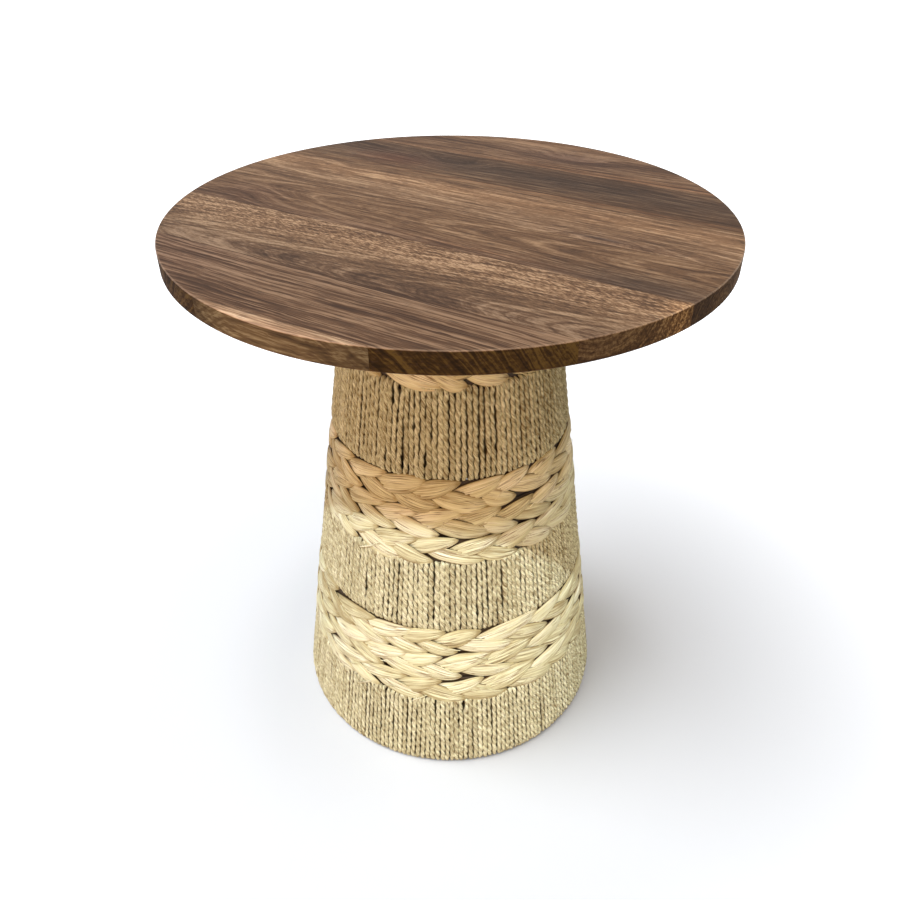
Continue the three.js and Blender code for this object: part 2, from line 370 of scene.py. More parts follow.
def walnutGroup():
    # Growth rings round a pith that wanders along the board, with fine lines, fibres and pores
    group, given, out = newGroup("walnutGrain", {
        "Place": (0, 0, 0), "Pith": (0, 0, 0), "Taper": 0.05, "Wander": 0.01, "Lift": 0.0,
        "Ring width": 0.016, "Line width": 0.0035, "Band share": 0.5, "Line share": 0.35,
        "Fleck share": 0.2, "Fleck slant": 0.0, "Seed": 0.0, "Dark": walnutLook["dark"],
        "Middle": walnutLook["middle"], "Light": walnutLook["light"], "Rim tint": (0.38, 0.34, 0.25, 1),
    }, ["Colour", "Roughness", "Height"])
    place, seed, wander = given["Place"], given["Seed"], given["Wander"]
    x, y, z = splitVector(place)
    # The pith's wander along the board
    drift = noise(joinVector(times(x, 5.0), seed, 0.0), output="Color")
    drift = vectorMaths("SUBTRACT", drift, (0.5, 0.5, 0.5))
    drift = vectorMaths("MULTIPLY", drift, joinVector(0.0, wander, wander))
    fromPith = vectorMaths("SUBTRACT", vectorMaths("SUBTRACT", place, given["Pith"]), drift)
    radius = vectorMaths("LENGTH", vectorMaths("MULTIPLY", fromPith, (0.0, 1.0, 1.0)))
    rings = maths("ADD", maths("SUBTRACT", radius, times(x, given["Taper"])), given["Lift"])
    uneven = noise(joinVector(times(x, 9.0), times(y, 30.0), seed), detail=4.0, roughness=0.6)
    rings = shifted(rings, uneven, wander)
    # Broad bands, fine lines, fibres, flecks and pores
    bandPlace = joinVector(maths("DIVIDE", rings, given["Ring width"]), times(x, 1.6), seed)
    bands = noise(bandPlace, detail=1.5)
    linePlace = joinVector(maths("DIVIDE", rings, given["Line width"]), times(x, 7.0), seed)
    lines = noise(linePlace, detail=4.0, roughness=0.72)
    fibres = noise(vectorMaths("MULTIPLY", place, walnutLook["fibres"]), roughness=0.6)
    slanted = joinVector(x, maths("MULTIPLY_ADD", x, given["Fleck slant"], y), z)
    flecks = noise(vectorMaths("MULTIPLY", slanted, walnutLook["flecks"]), roughness=0.6)
    pores = noise(vectorMaths("MULTIPLY", place, walnutLook["pores"]), detail=0.0)
    pores = fade(pores, 0.6, 0.72)
    # One tone from dark to light
    tone = shifted(0.5, bands, times(given["Band share"], 4.0))
    tone = shifted(tone, lines, times(given["Line share"], 5.0))
    tone = shifted(tone, fibres, 1.5)
    tone = shifted(tone, flecks, times(given["Fleck share"], 5.0))
    colour = colourOf(tone, [(0.0, given["Dark"]), (0.5, given["Middle"]), (1.0, given["Light"])])
    # The sawn rim is darker than the face, and the arris between them has a painted pale highlight
    upward = splitVector(addNode(group, "NewGeometry").outputs["Normal"])[2]
    facing = maths("MAXIMUM", upward, times(upward, -walnutLook["underside"]))
    rim = fade(facing, 0.2, 0.02)
    colour = mixColour(rim, colour, given["Rim tint"], "MULTIPLY")
    arris = times(remap(facing, 0.2, 0.5), remap(facing, 0.999, 0.95))
    colour = mixColour(times(arris, walnutLook["arrisHighlight"]), colour, walnutLook["arrisHighlightColour"])
    colour = mixColour(times(pores, walnutLook["poreShade"]), colour, walnutLook["poreColour"])
    roughness = remap(tone, 0.0, 1.0, 0.62, 0.46)
    connect(out, {"Colour": colour, "Height": maths("SUBTRACT", times(tone, 0.4), pores),
                  "Roughness": maths("MULTIPLY_ADD", rim, walnutLook["rimRoughness"], roughness)})
    return group


groups = {"fibre": fibreGroup(), "knot": knotGroup(), "walnut": walnutGroup()}


# Mesh helpers
def evenTurns(count):
    return np.arange(count) * 2 * math.pi / count


def ripple(angle, slowest, fastest, rng):
    # Smooth unevenness that closes on itself round the table
    total = np.zeros_like(angle)
    for turns in range(slowest, fastest + 1):
        total += rng.normal() * np.cos(turns * angle + rng.uniform(0, 2 * math.pi))
    return total / math.sqrt(fastest - slowest + 1)


def roundTheTable(r, angle, z):
    return np.stack(np.broadcast_arrays(r * np.cos(angle), r * np.sin(angle), z), axis=-1)


def fibreOf(shape, along, across, rng):
    # Place along and across each strand in metres, and a number that tells the strands apart
    fibre = np.zeros((*shape, 3))
    fibre[..., 0], fibre[..., 1] = along, across
    fibre[..., 2] = rng.uniform(0, 1, (shape[0], 1, 1))
    return fibre


def tubeMesh(name, grid, fibre, masks):
    # Strands closed at both ends: grid[strand, section, side], with fibre one longer round
    strands, rings, sides = grid.shape[:3]
    index = np.arange(strands * rings * sides).reshape(strands, rings, sides)
    here, ahead = index[:, :-1], index[:, 1:]
    quads = np.stack([here, np.roll(here, -1, 2), np.roll(ahead, -1, 2), ahead], axis=-1)
    corners = np.stack([fibre[:, :-1, :-1], fibre[:, :-1, 1:], fibre[:, 1:, 1:], fibre[:, 1:, :-1]], axis=3)
    parts = [quads, index[:, 0, ::-1], index[:, -1]]
    fibreParts = [corners, fibre[:, 0, -2::-1], fibre[:, -1, :-1]]
    loops = np.concatenate([part.ravel() for part in parts])
    starts = np.concatenate([np.arange(0, quads.size, 4), quads.size + np.arange(2 * strands) * sides])
    mesh = bpy.data.meshes.new(name)
    mesh.vertices.add(grid.size // 3)
    mesh.vertices.foreach_set("co", grid.astype(np.float32).ravel())
    mesh.loops.add(len(loops))
    mesh.loops.foreach_set("vertex_index", loops.astype(np.int32))
    mesh.polygons.add(len(starts))
    mesh.polygons.foreach_set("loop_start", starts.astype(np.int32))
    mesh.polygons.foreach_set("use_smooth", np.ones(len(starts), dtype=bool))
    mesh.update(calc_edges=True)
    layer = mesh.attributes.new("fibre", "FLOAT_VECTOR", "CORNER")
    cornerFibre = np.concatenate([part.reshape(-1, 3) for part in fibreParts])
    layer.data.foreach_set("vector", cornerFibre.astype(np.float32).ravel())
    for key, values in masks.items():
        layer = mesh.attributes.new(key, "FLOAT", "POINT")
        layer.data.foreach_set("value", values.astype(np.float32).ravel())
    return mesh


def addPiece(name, mesh, material, nodes):
    piece = newObject(name, mesh)
    mesh.materials.append(material)
    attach(piece, "root")
    if nodes:
        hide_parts(*nodes)
    return piece


# Cord panels: two-ply cords that run up the cone and turn in over a rod ring at each end
cords = {
    "counts": {"lower": 200, "middle": 165, "upper": 134},
    "plyOffset": 0.0008,
    "plyRadius": 0.00175,
    "proudest": 0.0026,  # how far a ply may stand out from the cord's middle
    "girth": 0.0135,
    "lay": 0.0196,  # length of one full twist
    "laySpread": 0.05,
    "twistSpread": 0.042,
    "sides": 8,
    "step": 0.0018,
    "bendSteps": 9,
    "endTurn": 150,  # degrees round the rods
    "cornerPower": 4.5,
    "endRoom": (0.0001, 0.0004),  # over the low and the high end of the panel
    "wander": 0.0005,
    "bow": 0.6,  # of a single cord, over the wander that it shares
    "waviness": 0.00026,
    "waveLength": 0.007,
    "thicknessSpread": 0.056,
    "knobs": 0.08,
    "squeeze": {"lower": 1.08, "middle": 1.115, "upper": 1.07},  # width of a cord over its share
    "slits": {  # degrees from the camera's side, height and half height of each parting
        "lower": [(-25.8, 0.08, 0.012), (-6.3, 0.084, 0.009), (5.6, 0.083, 0.008), (26.6, 0.08, 0.01)],
        "middle": [(-38, 0.215, 0.02), (12, 0.205, 0.012), (31, 0.235, 0.012)],
        "upper": [(-30.5, 0.365, 0.014), (-27.5, 0.432, 0.01), (-24, 0.438, 0.01), (-21.6, 0.375, 0.022),
                  (-10.4, 0.372, 0.014), (16, 0.387, 0.01)],
    },
    "slitWidth": 0.0022,
    "slitFade": 0.008,  # how far beside a slit the cords still give way
    "looseSlits": 6,
    "looseWidth": 0.0013,
    "looseHalves": (0.006, 0.018),
    "looseMargin": 0.015,
    "backSections": 10,
    "backSides": 6,
    "backWidth": 1.12,  # over a cord's share of the ring, so that they close
    "backSway": 0.0003,
    "seed": 11,
}


def cordRoute(footZ, headZ):
    # Radius, height and facing of a cord's middle, from its lower cut end to its upper one
    inset = cone["ringInset"]
    reach = inset - cone["cordThickness"] / 2
    turn = math.radians(cords["endTurn"])
    foot = np.linspace(-turn, lean, cords["bendSteps"] + 1)
    head = np.linspace(lean, turn, cords["bendSteps"] + 1)

    def squared(angle, height):
        # A turn with full corners, because pulled cords flatten over their rod
        power = cords["cornerPower"]
        full = reach * (np.abs(np.cos(angle)) ** power + np.abs(np.sin(angle)) ** power) ** (-1 / power)
        return np.stack([ringRadius(height) + full * np.cos(angle), height + full * np.sin(angle)], 1)

    footPart, headPart = squared(foot, footZ + inset), squared(head, headZ - inset)
    length = np.linalg.norm(headPart[0] - footPart[-1])
    steps = max(2, round(length / cords["step"]))
    share = np.linspace(0, 1, steps + 1)[1:-1, None]
    run = footPart[-1] * (1 - share) + headPart[0] * share
    route = np.concatenate([footPart, run, headPart])
    facing = np.concatenate([foot, np.full(len(run), lean), head])
    along = np.concatenate([[0], np.cumsum(np.linalg.norm(np.diff(route, axis=0), axis=1))])
    return route, facing, along


def cordPanel(stripe, material):
    node = f"{stripe}_cords"
    low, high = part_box(node)
    count, sides = cords["counts"][stripe], cords["sides"]
    rng = np.random.default_rng(cords["seed"] + count)
    route, facing, along = cordRoute(low.z, high.z)
    radius, routeZ = route.T
    turnAngle = evenTurns(count)
    height = (routeZ - low.z) / (high.z - low.z)
    # Sideways drift: neighbours lean together, and single cords bow a little
    lower, upper = ripple(turnAngle, 3, 40, rng), ripple(turnAngle, 3, 40, rng)
    bow = rng.normal(0, cords["bow"], count)
    drift = lower[:, None] * (1 - height) + upper[:, None] * height
    drift = (drift + bow[:, None] * np.sin(math.pi * np.clip(height, 0, 1))) * cords["wander"]
    # Slits at set places, and a few narrower ones anywhere
    slits = [(*slit, cords["slitWidth"]) for slit in cords["slits"][stripe]]
    margin = cords["looseMargin"]
    for _ in range(cords["looseSlits"]):
        slits.append((rng.uniform(-180, 180), rng.uniform(low.z + margin, high.z - margin),
                      rng.uniform(*cords["looseHalves"]), cords["looseWidth"]))
    for side, slitZ, half, width in slits:
        away = (turnAngle - math.radians(cameraSide + side) + math.pi) % (2 * math.pi) - math.pi
        away = away[:, None] * radius
        reach = np.exp(-((routeZ - slitZ) / half) ** 2)
        drift = drift + np.sign(away) * width / 2 * np.exp(-np.abs(away) / cords["slitFade"]) * reach
    knots = np.arange(0, along[-1] + cords["waveLength"], cords["waveLength"])
    waves = np.stack([np.interp(along, knots, rng.normal(0, 1, len(knots))) for _ in range(count)])
    angle = (turnAngle[:, None] + (drift + waves * cords["waviness"]) / radius)[..., None]
    # Twist and thickness of each cord
    lay = cords["lay"] * (1 + rng.normal(0, cords["laySpread"], (count, 1)))
    unevenTwist = np.cumsum(rng.normal(0, cords["twistSpread"], (count, len(along))), axis=1)
    twist = rng.uniform(0, 2 * math.pi, (count, 1)) - 2 * math.pi * along / lay + unevenTwist
    sparse = along[::4]
    knobs = np.stack([np.interp(along + rng.uniform(0, 0.01), sparse, rng.normal(0, 1, len(sparse)))
                      for _ in range(count)])
    thickness = 1 + rng.normal(0, cords["thicknessSpread"], (count, 1)) + knobs * cords["knobs"]
    side = evenTurns(sides)
    offset, ply = cords["plyOffset"], cords["plyRadius"]
    section = offset * np.abs(np.cos(side)) + np.sqrt(ply ** 2 - (offset * np.sin(side)) ** 2)
    around = side + twist[..., None]
    widen = 2 * math.pi * radius / count / cone["cordThickness"] * cords["squeeze"][stripe]
    swollen = section * thickness[..., None]
    outward = np.clip(swollen * np.cos(around), -cords["proudest"], cords["proudest"])
    sideways = swollen * np.sin(around) * widen[:, None]
    r = radius[:, None] + outward * np.cos(facing)[:, None]
    z = routeZ[:, None] + outward * np.sin(facing)[:, None]
    z = np.clip(z, low.z + cords["endRoom"][0], high.z + cords["endRoom"][1])
    cosine, sine = np.cos(angle), np.sin(angle)
    grid = np.stack([r * cosine - sideways * sine, r * sine + sideways * cosine, z], axis=-1)
    # The crowns' mask is 1 on a ply's back and 0 between the plies
    fibre = fibreOf((count, len(along), sides + 1), along[:, None],
                    np.arange(sides + 1) / sides * cords["girth"], rng)
    crown = (section - section.min()) / (section.max() - section.min())
    # The material paints shade where these masks are low: in the creases between plies and on a cord's sides,
    # next to its neighbours
    masks = {"crown": np.broadcast_to(crown, grid.shape[:3]), "proud": outward / (offset + ply)}
    mesh = tubeMesh(node, grid, fibre, masks)
    print(f"{node}: {count} cords, {len(mesh.polygons)} faces")
    return addPiece(f"{stripe}_cord_panel", mesh, material, [node])


def cordBacks(stripe, material):
    # The cords' way back inside the rings, which closes the view through a slit
    low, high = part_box(f"{stripe}_cords")
    count, sections, sides = cords["counts"][stripe], cords["backSections"], cords["backSides"]
    rng = np.random.default_rng(cords["seed"] * 3 + count)
    inset, half = cone["ringInset"], cone["cordThickness"] / 2
    z = np.linspace(low.z + inset, high.z - inset, sections)[:, None]
    radius = ringRadius(z) - (inset - half)
    side = evenTurns(sides)
    wide = cords["backWidth"] * math.pi * radius / count
    sway = rng.normal(0, cords["backSway"], (count, sections, 1))
    angle = evenTurns(count)[:, None, None] + (sway + wide * np.sin(side)) / radius
    grid = roundTheTable(radius + half * np.cos(side), angle, z)
    fibre = fibreOf((count, sections, sides + 1), z, np.arange(sides + 1) / sides * cords["girth"], rng)
    whole = np.ones(grid.shape[:3])
    # A proud mask of 0.2 gives the backs painted shade
    mesh = tubeMesh(f"{stripe}_cord_backs", grid, fibre, {"crown": whole, "proud": whole * 0.2})
    return addPiece(f"{stripe}_cord_backs", mesh, material, [])


def strandLines(tree, look):
    # A mesh's fibre place and masks, and the lines and colour of its fibres
    fibre, crown, proud = (addNode(tree, "Attribute", attribute_name=name).outputs[kind]
                           for name, kind in (("fibre", "Vector"), ("crown", "Fac"), ("proud", "Fac")))
    lines = useGroup(groups["fibre"], {"Fibre": fibre, **look["fibres"]})
    tone = shifted(lines["Lines"], lines["Patches"], *look["patches"])
    return fibre, crown, proud, lines, colourOf(tone, look["tones"])


cordLook = {
    "tones": [(0.31, (0.27, 0.22, 0.12, 1)), (0.5, (0.66, 0.67, 0.47, 1)), (0.68, (0.92, 0.945, 0.755, 1))],
    "patches": (0.5, 0.5),  # their share in the tone, and their middle value
    "fibres": {"Line length": 0.007, "Line width": 0.0007, "Patch size": 0.006, "Split width": 0.0016,
               "Strand share": 0.2},
    "creaseShade": (0.11, 0.066, 0.03, 1),
    "plyShade": 0.55,  # of the painted shade in the crease between the plies
    "splitShade": 0.6,
    "roughness": 0.85,
    "gloss": 0.2,
    "bump": (0.7, 0.0006),
}


def cordMaterial():
    material, tree, shader = newMaterial("twistedCord", {
        "Roughness": cordLook["roughness"], "Specular IOR Level": cordLook["gloss"]})
    fibre, crown, proud, lines, colour = strandLines(tree, cordLook)
    # Painted shade in the creases between plies and on a cord's sides, between it and its neighbours
    paintedShade = maths("MAXIMUM", fade(crown, 0.0, 0.38, cordLook["plyShade"], 0.0),
                    fade(proud, 0.0, 0.62, 1.0, 0.0))
    paintedShade = times(paintedShade, remap(lines["Lines"], 0.62, 0.4, 0.5, 1.0))
    paintedShade = maths("MAXIMUM", paintedShade, times(lines["Splits"], cordLook["splitShade"]))
    connect(shader, {"Base Color": mixColour(paintedShade, colour, cordLook["creaseShade"]),
                     "Normal": addBump(lines["Lines"], *cordLook["bump"])})
    return material


# Plaits: each row shows the two ranks of lobes that its three flat strands of palm leaf make
plaits = {
    "lobes": {"lower": 21, "middle": 20, "top": 18},  # in each rank of a row
    "sections": 26,
    "rise": (-0.0018, 0.0, 0.0022),  # of each row over its place, so that the upper one laps the cords
    "length": 1.42,  # of a lobe, over the distance from one to the next
    "lengthSpread": 0.07,
    "rowHeight": 0.029,  # for which the next sizes hold
    "width": 0.0208,
    "widthSpread": 0.1,
    "waist": 0.07,  # unevenness of a lobe's width along it
    "innerEnd": -0.002,  # from the row's middle to a lobe's left end, and to its right end
    "outerEnd": 0.0128,
    "endSpread": 0.0006,
    "bow": (0.0006, 0.001),
    "lowEnd": -0.004,  # from the face of the cords to a lobe's left end, its crest and its right end
    "crest": -0.0012,
    "outerDip": 0.0017,
    "crestSpread": 0.0002,
    "thickness": 0.0047,
    "backLimit": -0.005,
    "coreThickness": 0.0008,
    "coreStep": 0.0002,  # between laps of the core, so that they don't share a face
    "roll": 3,  # degrees by which a lobe's outer edge turns in
    "leaves": 5,  # leaf strips that show across a lobe
    "leafLift": 0.00025,
    "valley": 0.001,
    "backColumns": 3,
    "drift": 0.13,  # of the lobes along the band, in lobes
    "ownDrift": 0.05,  # and along a single row
    "seed": 23,
}


def lobeLines(count, amount, rng):
    # Slow unevenness along each lobe
    share = np.linspace(0, 1, plaits["sections"])[None, :]
    waves = [rng.normal(0, 1, (count, 1)) * np.cos(math.pi * turns * share + rng.uniform(0, 6, (count, 1)))
             for turns in (0, 1, 2, 3)]
    return sum(waves) * amount / 2


def plaitRow(stripe, row, material):
    node = f"{stripe}_plait_{row}"
    low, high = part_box(node)
    middleZ = (low.z + high.z) / 2 + plaits["rise"][row - 1]
    scale = (high.z - low.z) / plaits["rowHeight"]
    radius = coneRadius(middleZ)
    lobes, sections, leaves = plaits["lobes"][stripe], plaits["sections"], plaits["leaves"]
    both = 2 * lobes  # lobes of the two ranks
    pitch = 2 * math.pi / lobes
    rng = np.random.default_rng(plaits["seed"] + lobes * 10 + row + round(middleZ * 1000))

    def each(spread, middle=0.0):
        return rng.normal(middle, spread, (both, 1))

    # The rows of a band keep step, so that lobes lie in their neighbours' valleys
    shared = np.random.default_rng(plaits["seed"] + lobes)
    begin = shared.uniform(0, 2 * math.pi) + np.arange(both) * pitch / 2
    bandDrift = plaits["drift"] * ripple(begin, 2, 9, shared)
    begin += pitch * (bandDrift + plaits["ownDrift"] * ripple(begin, 3, 30, rng))
    rank = np.where(np.arange(both) % 2, 1.0, -1.0)[:, None]  # 1 for the upper rank
    share = np.linspace(0, 1, sections)[None, :]
    arch = np.sin(math.pi * share)
    size = 1 + each(plaits["widthSpread"])
    spacing = (np.roll(begin, -2) - begin) % (2 * math.pi)
    stretch = np.clip(1 + each(plaits["lengthSpread"]), 0.9, 1.2)
    length = plaits["length"] * radius * spacing[:, None] * stretch
    theta = begin[:, None] + share * length / radius
    inner = plaits["innerEnd"] * scale
    end = plaits["outerEnd"] * scale + each(plaits["endSpread"])
    middle = rank * (inner + (end - inner) * share + each(plaits["bow"][1], plaits["bow"][0]) * arch)
    half = plaits["width"] / 2 * scale * size * np.sin(math.pi * np.clip(share, 0.004, 0.996) ** 0.92) ** 0.62
    half = half * (1 + lobeLines(both, plaits["waist"], rng))
    climb = np.sin(np.minimum(share / 0.72, 1) * math.pi / 2)
    out = plaits["lowEnd"] + (plaits["crest"] - plaits["lowEnd"]) * climb
    out = out - plaits["outerDip"] * np.clip((share - 0.68) / 0.32, 0, 1) ** 2 + each(plaits["crestSpread"])
    thick = (plaits["thickness"] / 2 * (0.25 + 0.75 * arch ** 0.6))[..., None]
    roll = (-rank * math.radians(plaits["roll"]) + each(0.05))[..., None]

    # Columns across the front follow the borders of the leaf strips
    borders = [np.ones((both, sections))]
    for border in range(1, leaves):
        borders.append(1 - 2 * border / leaves + lobeLines(both, 0.3 / leaves, rng))
    borders = np.stack(borders + [-borders[0]], axis=-1)
    columns = leaves * 3 + 1
    leaf = np.minimum(np.arange(columns) // 3, leaves - 1)
    part = (np.arange(columns) - 3 * leaf) / 3
    places = borders[..., leaf] * (1 - part) + borders[..., leaf + 1] * part
    isValley = np.arange(columns) % 3 == 0
    depth = np.stack([0.8 + lobeLines(both, 1.0, rng) for _ in range(columns)], axis=-1)
    depth = np.clip(depth, 0, 2.2)
    front = np.sqrt(np.clip(1 - np.abs(places) ** 2.1, 0, 1)) * thick
    front = front - isValley * plaits["valley"] * depth * (1 - np.abs(places) ** 4)
    lift = np.stack([lobeLines(both, plaits["leafLift"], rng) for _ in range(leaves)], axis=-1)
    front = front + lift[..., leaf] * (1 - np.abs(places)) * arch[..., None]
    back = np.linspace(-1, 1, plaits["backColumns"] + 2)[1:-1] * np.ones((both, sections, 1))
    across = np.concatenate([places, back], axis=-1)
    depths = np.concatenate([front, -np.sqrt(1 - np.abs(back) ** 2.4) * thick], axis=-1)
    # From a lobe's own section to height along the cone's face and distance from it
    tilted = across * half[..., None]
    rise = middle[..., None] + tilted * np.cos(roll) - depths * np.sin(roll)
    face = out[..., None] + tilted * np.sin(roll) + depths * np.cos(roll)
    sides = across.shape[-1]
    # Masks for painted shade: crown is low in the leaves' valleys and 0 on a lobe's outline and back, and
    # proud falls at its ends, where it goes under
    crown = np.ones((both, sections, sides))
    crown[..., :columns][..., isValley] = 1 - 0.7 * np.clip(depth[..., isValley] - 0.5, 0, 1)
    crown[..., [0, columns - 1]] = 0
    crown[..., columns:] = 0
    proud = np.broadcast_to(np.clip(arch * 3 - 0.5, -1, 1)[..., None], crown.shape)

    # Behind them a thin core of the leaves that lie hidden, in laps round the base; its masks paint it nearly
    # black, as the shade there
    def withCore(lobe, core):
        return np.concatenate([lobe, np.broadcast_to(core, (lobes, *lobe.shape[1:]))])

    lap = np.linspace(-1, 1, (sides + 1) // 2)
    lap = np.concatenate([lap, lap[::-1][:sides - len(lap)]]) * (high.z - low.z + 0.002) / 2
    coreTheta = ((np.arange(lobes)[:, None] + share * 1.1) * pitch)[..., None]
    coreFace = np.full((lobes, sections, sides), plaits["backLimit"])
    coreFace[..., :(sides + 1) // 2] += plaits["coreThickness"]
    coreFace += (np.arange(lobes) % 3)[:, None, None] * plaits["coreStep"]
    theta = withCore(np.broadcast_to(theta[..., None], rise.shape), coreTheta)
    rise = withCore(rise, lap)
    face = np.maximum(withCore(face, coreFace), plaits["backLimit"])
    r = radius - rise * math.sin(lean) + face * math.cos(lean)
    z = middleZ + rise * math.cos(lean) + face * math.sin(lean)
    along = withCore(share * length, share * pitch * radius)
    flat = withCore(across, lap / 0.015) * plaits["width"] / 2
    flat = np.concatenate([flat, flat[..., :1]], axis=-1)
    fibre = fibreOf(flat.shape, along[..., None], flat, rng)
    masks = {"crown": withCore(crown, 0.0), "proud": withCore(proud, -1.0)}
    mesh = tubeMesh(node, roundTheTable(r, theta, z), fibre, masks)
    return addPiece(f"{stripe}_plait_row_{row}", mesh, material, [node])


# Ends of leaves that have worked loose
strays = {
    "ends": [(-30, 0.275, -41, 0.259), (-32, 0.094, -39, 0.081)],  # side and height of root and tip
    "perRow": 16,
    "rootMargin": (0.004, 0.002),  # from the foot and the head of a row
    "lengths": (0.008, 0.022),
    "tilt": 0.6,
    "highest": 0.539,
    "widths": (0.003, 0.0009),  # of the two long ends and of the short ones
    "leastWidth": 0.00012,
    "thickness": 0.0004,
    "curl": 0.0012,
    "lift": 0.0022,  # of a tip from the face
    "sections": 10,
    "sides": 6,
    "seed": 41,
}


def looseEnds(material):
    rng = np.random.default_rng(strays["seed"])
    routes = []
    for rootSide, rootZ, tipSide, tipZ in strays["ends"]:
        routes.append((math.radians(cameraSide + rootSide), rootZ, math.radians(cameraSide + tipSide), tipZ,
                       strays["widths"][0]))
    for stripe in plaits["lobes"]:
        for row in plaitRows:
            low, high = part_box(f"{stripe}_plait_{row}")
            lowest, highest = low.z + strays["rootMargin"][0], high.z - strays["rootMargin"][1]
            for _ in range(strays["perRow"]):
                angle, z = rng.uniform(0, 2 * math.pi), rng.uniform(lowest, highest)
                length, tilt = rng.uniform(*strays["lengths"]), rng.uniform(-strays["tilt"], strays["tilt"])
                turn = rng.choice((-1, 1)) * length * math.cos(tilt) / coneRadius(z)
                tipZ = min(z + length * math.sin(tilt), strays["highest"])
                routes.append((angle, z, angle + turn, tipZ, strays["widths"][1] * rng.uniform(0.7, 1.6)))
    count, sections, sides = len(routes), strays["sections"], strays["sides"]
    rootAngle, rootZ, tipAngle, tipZ, width = (np.array(part)[:, None, None] for part in zip(*routes))
    share = np.linspace(0, 1, sections)[:, None]
    side = evenTurns(sides)
    curl = rng.normal(0, strays["curl"], (count, 1, 1)) * np.sin(math.pi * share)
    lift = strays["lift"] * rng.uniform(0.4, 1.2, (count, 1, 1)) * share ** 2
    half = width / 2 * (1 - share) ** 0.6 + strays["leastWidth"]
    across = half * np.cos(side)
    thick = strays["thickness"]
    face = thick + lift + thick / 2 * np.sin(side) * (1.1 - share)
    z = rootZ + (tipZ - rootZ) * share + curl + across
    angle = rootAngle + (tipAngle - rootAngle) * share
    grid = roundTheTable(coneRadius(z) + face, angle, z + face * math.sin(lean))
    fibre = fibreOf((count, sections, sides + 1), 0.02 * share,
                    np.concatenate([across, across[..., :1]], axis=-1), rng)
    whole = np.ones(grid.shape[:3])
    mesh = tubeMesh("loose_leaf_ends", grid, fibre, {"crown": whole, "proud": whole})
    return addPiece("loose_leaf_ends", mesh, material, [])


leafLook = {
    "tones": [(0.2, (0.41, 0.35, 0.195, 1)), (0.5, (0.76, 0.785, 0.545, 1)), (0.8, (0.93, 0.97, 0.81, 1))],
    "patches": (0.9, 0.46),
    "fibres": {"Line length": 0.05, "Line width": 0.0011, "Patch size": 0.03, "Split width": 0.002,
               "Strand share": 0.35},
    "creaseShade": (0.11, 0.065, 0.028, 1),
    "hiddenShade": (0.02, 0.012, 0.006, 1),
    "vein": (0.26, 0.17, 0.075, 1),
    "splitShade": 0.85,
    "edge": (0.58, 0.46, 0.28, 1),
    "edgeFrom": (0.0055, 0.0104),  # from the middle of a lobe
    "edgeShade": 0.6,
    "highShadeTint": (1.07, 0.98, 0.9, 1),  # painted shade, warmer, on the rows from this height up, in the top's shadow
    "highFrom": (0.298, 0.318),
    "gloss": 0.3,
    "bump": (0.6, 0.0005),
}


def leafMaterial():
    material, tree, shader = newMaterial("palmLeaf", {"Specular IOR Level": leafLook["gloss"]})
    fibre, crown, proud, lines, colour = strandLines(tree, leafLook)
    # Painted shade: a lobe is darker and browner toward its sides and its ends, where it turns under
    fromMiddle = maths("ABSOLUTE", splitVector(fibre)[1])
    edgeShadeMask = maths("MAXIMUM", fade(fromMiddle, *leafLook["edgeFrom"], 0.0, leafLook["edgeShade"]),
                  fade(proud, 0.9, 0.0, 0.0, leafLook["edgeShade"]))
    colour = mixColour(edgeShadeMask, colour, leafLook["edge"], "MULTIPLY")
    # Painted shade: the upper rows, in the top's shadow, are warmer
    high = remap(splitVector(objectPlace(tree))[2], *leafLook["highFrom"])
    colour = mixColour(high, colour, leafLook["highShadeTint"], "MULTIPLY")
    colour = mixColour(times(lines["Splits"], leafLook["splitShade"]), colour, leafLook["vein"])
    # Painted shade along a lobe's outline, in the valleys between its leaves and at its ends, where it goes
    # under
    paintedShade = maths("MAXIMUM", fade(crown, 0.0, 0.62, 0.96, 0.0),
                    fade(proud, -0.1, -1.0, 0.0, 0.94))
    colour = mixColour(paintedShade, colour, leafLook["creaseShade"])
    # The hidden core is painted nearly black, as shade
    colour = mixColour(remap(proud, -0.6, -1.0, 0.0, 0.8), colour, leafLook["hiddenShade"])
    height = maths("SUBTRACT", lines["Lines"], times(lines["Splits"], 0.8))
    connect(shader, {"Base Color": colour, "Roughness": remap(lines["Lines"], 0.2, 0.8, 0.72, 0.5),
                     "Normal": addBump(height, *leafLook["bump"])})
    return material


# Boards of the top
top = {
    "radius": 0.25,
    "lowZ": 0.541,
    "highZ": 0.56,
    "topArris": 0.001,
    "bottomArris": 0.0015,
    "segments": 384,
    "edgeLoop": 0.0004,  # from each arris to the loop that keeps the rim between them straight
    "joints": [-0.238, -0.162, -0.072, 0.0, 0.075, 0.158],
    "glueLine": 0.0001,
    "patchDepth": 0.5,
    "rimTint": (0.39, 0.35, 0.26),
}
